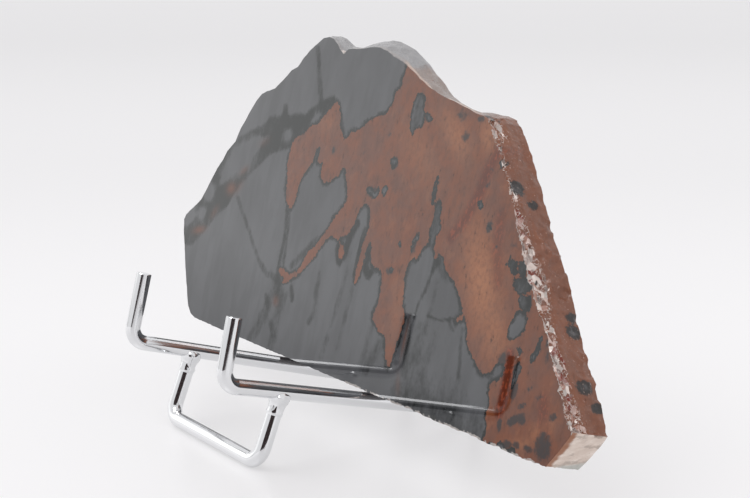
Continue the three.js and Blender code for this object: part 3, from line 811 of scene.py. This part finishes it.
def polished_material(s):
    """The flat, polished faces."""
    r = Recipe("polished_obsidian")
    chipped = r.math("ADD", r.attribute("splinter_and_glint"), r.noise(r.place(), 1.1, 4, 0.65))
    nicks = r.ramp(chipped, 1.0, 1.06, 0, 0.85)
    r.set("Base Color", r.mix(nicks, stone_colour(r, s, 1.5, 1.5), CHIPPED_GREY))
    r.set("Roughness", s.polish)
    r.set("IOR", 1.5)
    return r.material


def broken_material(s):
    """The broken and sawn edges, with the splintered ridge, painted glints at the bright chips, and the
    painted sheen on the scooped top.
    """
    r = Recipe("broken_obsidian")
    # Broken faces take a lighter, more orange brown, most over the mahogany.
    browner = r.ramp(r.attribute("mahogany"), -0.6, 0.8, 0.04, 0.3)
    tint = r.mix(browner, stone_colour(r, s, 1.8, 2.6), BROKEN_BROWN)
    grain = r.noise(r.place(), 1.3, 5, 0.65)
    # Painted reflection of the overhead light on the upward faces of the scooped top: pink over the mahogany,
    # paler near the front face.
    skin = r.math("MULTIPLY", r.attribute("skin"), r.ramp(grain, 0.3, 0.6, 0.8, 1))
    pale = r.mix(r.ramp(r.attribute("mahogany"), -0.6, 1.6), s.skin, PINK_PAINTED_SHEEN)
    lip = r.math("ADD", r.attribute("depth"), r.math("MULTIPLY", grain, 1.6))
    on_brown = r.ramp(r.attribute("mahogany"), -3, 0.6, 0.12, 1)
    pale = r.mix(r.math("MULTIPLY", r.ramp(lip, 2.9, 1.9, 0, 0.85), on_brown), pale, PALE_SHEEN_LIP)
    tint = r.mix(skin, tint, pale)
    # Splintered glass, with painted glints at the bright chips.
    splinter_and_glint = r.attribute("splinter_and_glint")
    at = r.place((0.8, 0.85, 0.55), (0, math.radians(35), 0))
    shards = r.cells(at, 1)
    pick = r.channel(shards["Color"], "Red")
    cover = r.math("ADD", splinter_and_glint, r.math("MULTIPLY", grain, 0.35))
    shown = r.math("GREATER_THAN", cover, r.math("ADD", pick, 0.28))
    tones = r.steps(
        r.channel(shards["Color"], "Green"),
        [(0, s.crushed), (0.2, scaled(s.crushed, 0.6)), (0.36, (0.40, 0.22, 0.17)),
         (0.52, (0.18, 0.075, 0.048)), (0.68, (0.58, 0.42, 0.37)), (0.8, (0.22, 0.16, 0.14)),
         (0.92, (0.17, 0.03, 0.016))],
    )
    reddened = r.mix(r.attribute("deep_red"), tones, RED_SHARD)
    tones = r.mix(r.ramp(r.channel(shards["Color"], "Blue"), 0.2, 0.25), tones, reddened)
    tint = r.mix(r.math("MULTIPLY", shown, r.ramp(splinter_and_glint, 0.02, 0.1)), tint, tones)
    across = r.place((1.3, 1.3, 0.8), (0, math.radians(-20), 0))
    lines = r.cells(across, 1, "DISTANCE_TO_EDGE")["Distance"]
    thin = r.math("MULTIPLY", r.ramp(lines, 0.10, 0.03), r.ramp(splinter_and_glint, 0.1, 0.4, 0, 0.9))
    tint = r.mix(r.math("MULTIPLY", thin, r.ramp(grain, 0.45, 0.6)), tint, scaled(s.crushed, 0.8))
    scratch = r.noise(r.place((1.6, 1.6, 0.5), (0, math.radians(30), 0)), 1.4, 3, 0.6)
    bare = r.math("SUBTRACT", 1, splinter_and_glint)
    tint = r.mix(r.math("MULTIPLY", bare, r.ramp(scratch, 0.645, 0.69, 0, 0.6)), tint, SCRATCHED)
    r.set("Base Color", tint)
    r.set("Roughness", r.ramp(splinter_and_glint, 0.1, 0.6, 0.24, 0.14))
    r.set("IOR", 1.5)
    leaning = r.vector("SUBTRACT", shards["Color"], (0.5, 0.5, 0.5))
    tilt = r.vector("DOT_PRODUCT", r.vector("SUBTRACT", at, shards["Position"]), leaning, "Value")
    facets = r.math("MULTIPLY", r.math("MULTIPLY", tilt, splinter_and_glint), 2.6)
    r.bump(r.math("ADD", r.math("MULTIPLY", grain, 0.5), facets), 0.6, 0.5 * MM)
    return r.material


def rind_material(s):
    """The matt facet at the lower right corner."""
    r = Recipe("matt_rind")
    drag = r.noise(r.place((0.25, 0.25, 0.8), (0, math.radians(-20), 0)), 0.7, 4)
    grain = r.noise(r.place(), 2.2, 4)
    blotch = r.noise(r.place((0.5, 0.5, 1), (0, math.radians(-25), 0)), 0.45, 4, 0.65)
    tint = r.mix(r.ramp(drag, 0.35, 0.62), RIND_PALE, s.rind)
    tint = r.mix(r.ramp(blotch, 0.5, 0.64, 0, 0.75), tint, scaled(s.rind, 0.62))
    tint = r.mix(r.ramp(grain, 0.60, 0.75, 0, 0.4), tint, RIND_SPECK)
    edge = r.math("ADD", r.attribute("depth"), r.math("MULTIPLY", drag, -2.4))
    tint = r.mix(r.ramp(edge, 0.7, -0.3, 0, 0.85), tint, RIND_FRINGE)
    height = r.nodes.new("ShaderNodeSeparateXYZ")
    r.put(height.inputs["Vector"], r.place())
    low = r.math("ADD", height.outputs["Z"], r.math("MULTIPLY", drag, 3))
    tint = r.mix(r.ramp(low, 16.6, 15.0, 0, 0.75), tint, RIND_LOW)
    r.set("Base Color", tint)
    r.set("Roughness", 0.72)
    r.set("IOR", 1.45)
    r.bump(grain, 0.35, 0.3 * MM)
    return r.material


def steel_material(s):
    """Bright-plated wire, under a name that no material of the frame has."""
    r = Recipe("plated_steel")
    r.set("Base Color", (*s.steel, 1))
    r.set("Metallic", 1.0)
    r.set("Roughness", 0.10)
    return r.material


def side_point(side, s, z):
    """A point of one side of the easel, s back from the front corner and z up, on the table's frame."""
    x = side * (FRONT_HALF_WIDTH - s * math.sin(SPLAY))
    return EASEL_ORIGIN + Vector((x, s * math.cos(SPLAY), z)) * MM


def arm_height(s):
    """How high the arm is, s back from its front corner."""
    return FRONT_HEIGHT - s * math.tan(TILT)


def bend_wire(bm, start, corners, end, radius, sides=36):
    """A round wire from start to end, bent at each (corner, bend radius)."""
    path = [start] + [c for c, _ in corners] + [end]
    first = (path[1] - start).normalized()
    turn = Vector((0, 0, 1)).rotation_difference(first).to_matrix().to_4x4()
    edge = radius * 0.09
    ring = bmesh.ops.create_circle(
        bm, cap_ends=True, segments=sides, radius=radius - edge, matrix=Matrix.Translation(start) @ turn
    )["verts"]
    loop = list({e for v in ring for e in v.link_edges if all(w in ring for w in e.verts)})
    bmesh.ops.reverse_faces(bm, faces=list({f for v in ring for f in v.link_faces}))

    def grow(loop, centre, offset, scale):
        made = bmesh.ops.extrude_edge_only(bm, edges=loop)["geom"]
        verts = [g for g in made if isinstance(g, bmesh.types.BMVert)]
        bmesh.ops.scale(bm, vec=(scale,) * 3, space=Matrix.Translation(-centre), verts=verts)
        bmesh.ops.translate(bm, vec=offset, verts=verts)
        return [g for g in made if isinstance(g, bmesh.types.BMEdge)]

    loop = grow(loop, start, first * edge, radius / (radius - edge))
    here = start + first * edge
    for (corner, bend), after in zip(corners, path[2:]):
        before = (corner - here).normalized()
        onward = (after - corner).normalized()
        angle = before.angle(onward)
        reach = bend * math.tan(angle / 2)
        stop = corner - before * reach
        loop = grow(loop, here, stop - here, 1)
        axis = before.cross(onward).normalized()
        centre = stop + axis.cross(before) * bend
        spun = bmesh.ops.spin(
            bm, geom=loop, cent=centre, axis=axis, angle=angle, steps=max(6, int(math.degrees(angle) / 6)),
            use_duplicate=False,
        )
        loop = [g for g in spun["geom_last"] if isinstance(g, bmesh.types.BMEdge)]
        here = corner + onward * reach
    last = (end - here).normalized()
    loop = grow(loop, here, end - here - last * edge, 1)
    loop = grow(loop, end - last * edge, last * edge, (radius - edge) / radius)
    bmesh.ops.contextual_create(bm, geom=loop)


def finish_piece(name, bm, material, node):
    """Turns a bmesh into a piece that rides the body and stands for its solid."""
    bmesh.ops.recalc_face_normals(bm, faces=bm.faces)
    for f in bm.faces:
        f.smooth = True
    for e in bm.edges:
        e.smooth = len(e.link_faces) == 2 and e.calc_face_angle(0) < math.radians(35)
    mesh = bpy.data.meshes.new(name)
    bm.to_mesh(mesh)
    bm.free()
    return show_piece(name, mesh, [material], node)


def show_piece(name, mesh, materials, node):
    """Adds a mesh as a piece that rides the body and stands for its solid."""
    for material in materials:
        mesh.materials.append(material)
    piece = bpy.data.objects.new(name, mesh)
    bpy.context.scene.collection.objects.link(piece)
    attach(piece, "root")
    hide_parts(node)
    return piece


def weld_bead(bm, weld, rung, radius):
    """A weld that widens from the leg to the arm: a profile spun round the leg."""
    up = (weld - rung).normalized()
    frame_turn = Matrix.Translation(weld) @ Vector((0, 0, 1)).rotation_difference(up).to_matrix().to_4x4()
    profile = [
        (0, -6.2), (2.0, -6.1), (2.12, -5.6), (2.2, -5.1), (2.08, -4.6), (2.14, -4), (2.28, -3.3),
        (2.5, -2.6), (2.74, -1.9), (2.86, -1.3), (2.6, -0.5), (1.7, 0.1), (0, 0.3),
    ]
    verts = [bm.verts.new(frame_turn @ Vector((r * radius / 2, 0, z * MM))) for r, z in profile]
    edges = [bm.edges.new(pair) for pair in zip(verts, verts[1:])]
    bmesh.ops.spin(
        bm, geom=verts + edges, cent=weld, axis=up, angle=math.tau, steps=32, use_merge=True,
        use_duplicate=False,
    )
    bmesh.ops.remove_doubles(bm, verts=bm.verts, dist=1e-7)
    for v in bm.verts:
        along = (v.co - weld).dot(up)
        if -5.4 * MM < along < 0 and (v.co - weld - up * along).length > radius * 1.03:
            v.co += (v.co - weld - up * along).normalized() * 0.26 * MM * (noise.noise(v.co / MM * 0.9) - 0.2)


class OBJECT_OT_obsidian_slab(bpy.types.Operator):
    """Adds the polished slab with its broken edges and its markings"""

    bl_idname = "object.obsidian_slab"
    bl_label = "Obsidian slab"
    bl_options = {"REGISTER", "UNDO"}

    def execute(self, context):
        s = context.scene.slab_settings
        materials = [polished_material(s), broken_material(s), rind_material(s)]
        show_piece("slab_stone", build_slab(s), materials, "slab")
        return {"FINISHED"}


class OBJECT_OT_easel_wires(bpy.types.Operator):
    """Adds the easel's main wire and its welded front foot"""

    bl_idname = "object.easel_wires"
    bl_label = "Easel wires"
    bl_options = {"REGISTER", "UNDO"}

    def execute(self, context):
        s = context.scene.easel_settings
        steel = steel_material(s)
        rear_turn = TILT + math.pi / 2 + UPRIGHT_LEAN
        rear_z = s.radius / MM + BEND * (1 - math.cos(TILT)) - BEND * math.tan(rear_turn / 2) * math.sin(TILT)
        rear_s = (FRONT_HEIGHT - rear_z) / math.tan(TILT)
        back_y = SLAB_FRONT_Y + THICKNESS * math.cos(LEAN)
        back_z = SLAB_ORIGIN.z / MM - THICKNESS * math.sin(LEAN)
        slope = math.tan(UPRIGHT_LEAN) * math.cos(SPLAY)
        room = rear_s * math.cos(SPLAY) + rear_z * slope - back_y - TOP_BAR_TO_SLAB / math.cos(LEAN)
        top_z = (room + back_z * math.tan(LEAN)) / (math.tan(LEAN) + slope)
        top_s = rear_s - (top_z - rear_z) * math.tan(UPRIGHT_LEAN)
        halves = {}
        for side, hook in HOOK_LENGTHS.items():
            tip = side_point(side, hook * math.sin(HOOK_LEAN), FRONT_HEIGHT + hook * math.cos(HOOK_LEAN))
            halves[side] = tip, [
                (side_point(side, 0, FRONT_HEIGHT), BEND * MM),
                (side_point(side, rear_s, rear_z), BEND * MM),
                (side_point(side, top_s, top_z), TOP_BEND * MM),
            ]
        bm = bmesh.new()
        corners = halves[1][1] + halves[-1][1][::-1]
        bend_wire(bm, halves[1][0], corners, halves[-1][0], s.radius)
        finish_piece("easel_main_wire", bm, steel, "easel_frame")

        weld_s = FOOT_WELD_Y / math.cos(SPLAY)
        right, left = (side_point(side, weld_s, arm_height(weld_s)) for side in (1, -1))
        rungs = [Vector((p.x, EASEL_ORIGIN.y + FOOT_RUNG_Y * MM, s.radius)) for p in (right, left)]
        bm = bmesh.new()
        bend_wire(bm, right, [(rungs[0], BEND * MM), (rungs[1], BEND * MM)], left, s.radius)
        weld_bead(bm, right, rungs[0], s.radius)
        weld_bead(bm, left, rungs[1], s.radius)
        finish_piece("easel_front_foot", bm, steel, "front_foot")
        return {"FINISHED"}


def stage_material(name, tint, roughness, glow=0.0):
    """A plain surface of the stage, which may glow."""
    r = Recipe(name)
    r.set("Base Color", (*tint, 1))
    r.set("Roughness", roughness)
    if glow:
        r.set("Emission Color", (1, 0.994, 1, 1))
        r.set("Emission Strength", glow)
    return r.material


def floor_material(tint, glow):
    """The floor, whose own light lessens towards the back."""
    r = Recipe("pale_floor")
    back = r.vector("DOT_PRODUCT", r.place(), VIEW_DIRECTION, "Value")
    near = r.ramp(back, -100, 500, 1, 0.72)
    far = r.ramp(back, 300, 1500, 1, 0.72)
    r.set("Base Color", (*tint, 1))
    r.set("Roughness", 0.35)
    r.set("Emission Color", (1, 0.99, 1, 1))
    r.set("Emission Strength", r.math("MULTIPLY", r.math("MULTIPLY", near, far), glow))
    return r.material


def stage_card(name, centre, facing, width, height, material, hidden=True):
    """A flat card that faces a point, for light or shade in the reflections."""
    bm = bmesh.new()
    bmesh.ops.create_grid(bm, x_segments=1, y_segments=1, size=0.5)
    bmesh.ops.scale(bm, vec=(width, height, 1), verts=bm.verts)
    turn = (Vector(facing) - Vector(centre)).to_track_quat("Z", "Y").to_matrix().to_4x4()
    bmesh.ops.transform(bm, matrix=Matrix.Translation(centre) @ turn, verts=bm.verts)
    mesh = bpy.data.meshes.new(name)
    bm.to_mesh(mesh)
    bm.free()
    mesh.materials.append(material)
    card = bpy.data.objects.new(name, mesh)
    bpy.context.scene.collection.objects.link(card)
    card.visible_camera = not hidden
    return card


def screen_material(strength, middle, aside):
    """A screen that glows evenly above, fades to its lower edge and a little to one side."""
    r = Recipe("bright_screen")
    coordinates = r.nodes.new("ShaderNodeSeparateXYZ")
    r.put(coordinates.inputs["Vector"], r.place())
    r.set("Base Color", (0, 0, 0, 1))
    r.set("Specular IOR Level", 0)
    r.set("Emission Color", (1, 1, 1, 1))
    across = r.vector("DOT_PRODUCT", r.place(), aside, "Value")
    start = middle.dot(aside) / MM
    side = r.ramp(across, start + 60, start + 330, 1, 0.74)
    up = r.ramp(coordinates.outputs["Z"], -20, 110, 0.5 * strength, strength)
    r.set("Emission Strength", r.math("MULTIPLY", side, up))
    return r.material


def soft_sun(direction, angle, strength):
    """A wide, far light from one direction, for soft shadows."""
    light = bpy.data.lights.new("soft_sun", "SUN")
    light.energy = strength
    light.angle = angle
    lamp = bpy.data.objects.new("soft_sun", light)
    lamp.rotation_euler = Vector(direction).to_track_quat("Z", "Y").to_euler()
    lamp.visible_glossy = False
    bpy.context.scene.collection.objects.link(lamp)
    return lamp


class OBJECT_OT_slab_stage(bpy.types.Operator):
    """Adds the floor, the soft light and the camera"""

    bl_idname = "object.slab_stage"
    bl_label = "Stage"
    bl_options = {"REGISTER", "UNDO"}

    def execute(self, context):
        s = context.scene.stage_settings
        stage_card("floor", (0, 0, 0), (0, 0, 1), 12, 12, floor_material(s.floor, s.fill), hidden=False)
        world = bpy.data.worlds.new("soft_room")
        world.use_nodes = True
        background = world.node_tree.nodes["Background"]
        background.inputs["Color"].default_value = (0.99, 0.985, 1, 1)
        background.inputs["Strength"].default_value = s.room
        context.scene.world = world
        middle = Vector((SLAB_ORIGIN.x, SLAB_ORIGIN.y, 0))
        screen_height = Vector((0, 0, 0.3))
        screen = stage_card(
            "bright_screen", middle + TO_SCREEN * 0.9 + screen_height, middle + screen_height, 1.1, 0.6,
            screen_material(s.screen, middle, ALONG_SCREEN),
        )
        dark = stage_material("dark_flag", FLAG_BLACK, 1)
        flag_height = Vector((0, 0, 0.5))
        for turn, width in ((-40, 1.25), (6, 0.10)):
            aside = Vector((math.cos(math.radians(turn)), math.sin(math.radians(turn)), 0))
            flag = stage_card(
                f"dark_flag_{width:.2f}", middle + aside * 1.2 + flag_height, middle + flag_height, width,
                1.0, dark,
            )
            flag.visible_diffuse = flag.visible_shadow = False
        screen.visible_diffuse = screen.visible_shadow = False
        strip = stage_card(
            "overhead_strip", middle + Vector((-0.05, -0.27, 0.96)), middle, 0.75, 0.36,
            stage_material("overhead_strip", (0, 0, 0), 1, s.strip),
        )
        strip.visible_diffuse = strip.visible_shadow = False
        soft_sun((-0.35, -0.45, 0.82), math.radians(50), s.sun)

        camera = bpy.data.cameras.new("photo_view")
        camera.lens = s.focal
        camera.sensor_fit = "HORIZONTAL"
        camera.sensor_width = 36
        camera.clip_start = 0.01
        holder = bpy.data.objects.new("photo_view", camera)
        holder.location = EASEL_ORIGIN + CAMERA_PLACE * MM
        holder.rotation_euler = (math.radians(90 - CAMERA_DOWN), 0, math.radians(CAMERA_TURN))
        context.scene.collection.objects.link(holder)
        context.scene.camera = holder
        context.scene.view_settings.view_transform = "Standard"
        return {"FINISHED"}


class VIEW3D_PT_slab(bpy.types.Panel):
    """Lists the pieces and their settings"""

    bl_label = "Obsidian slab"
    bl_space_type = "VIEW_3D"
    bl_region_type = "UI"
    bl_category = "Slab"

    def draw(self, context):
        for group, operator in (
            ("slab_settings", "object.obsidian_slab"),
            ("easel_settings", "object.easel_wires"),
            ("stage_settings", "object.slab_stage"),
        ):
            settings = getattr(context.scene, group)
            column = self.layout.column()
            for name in settings.__annotations__:
                column.prop(settings, name)
            column.operator(operator)


CLASSES = (
    SlabSettings, EaselSettings, StageSettings, OBJECT_OT_obsidian_slab, OBJECT_OT_easel_wires,
    OBJECT_OT_slab_stage, VIEW3D_PT_slab,
)


def register():
    for cls in CLASSES:
        bpy.utils.register_class(cls)
    bpy.types.Scene.slab_settings = bpy.props.PointerProperty(type=SlabSettings)
    bpy.types.Scene.easel_settings = bpy.props.PointerProperty(type=EaselSettings)
    bpy.types.Scene.stage_settings = bpy.props.PointerProperty(type=StageSettings)


def unregister():
    del bpy.types.Scene.slab_settings
    del bpy.types.Scene.easel_settings
    del bpy.types.Scene.stage_settings
    for cls in reversed(CLASSES):
        bpy.utils.unregister_class(cls)


def main():
    register()
    bpy.ops.object.obsidian_slab()
    bpy.ops.object.easel_wires()
    bpy.ops.object.slab_stage()


if __name__ == "__main__":
    main()
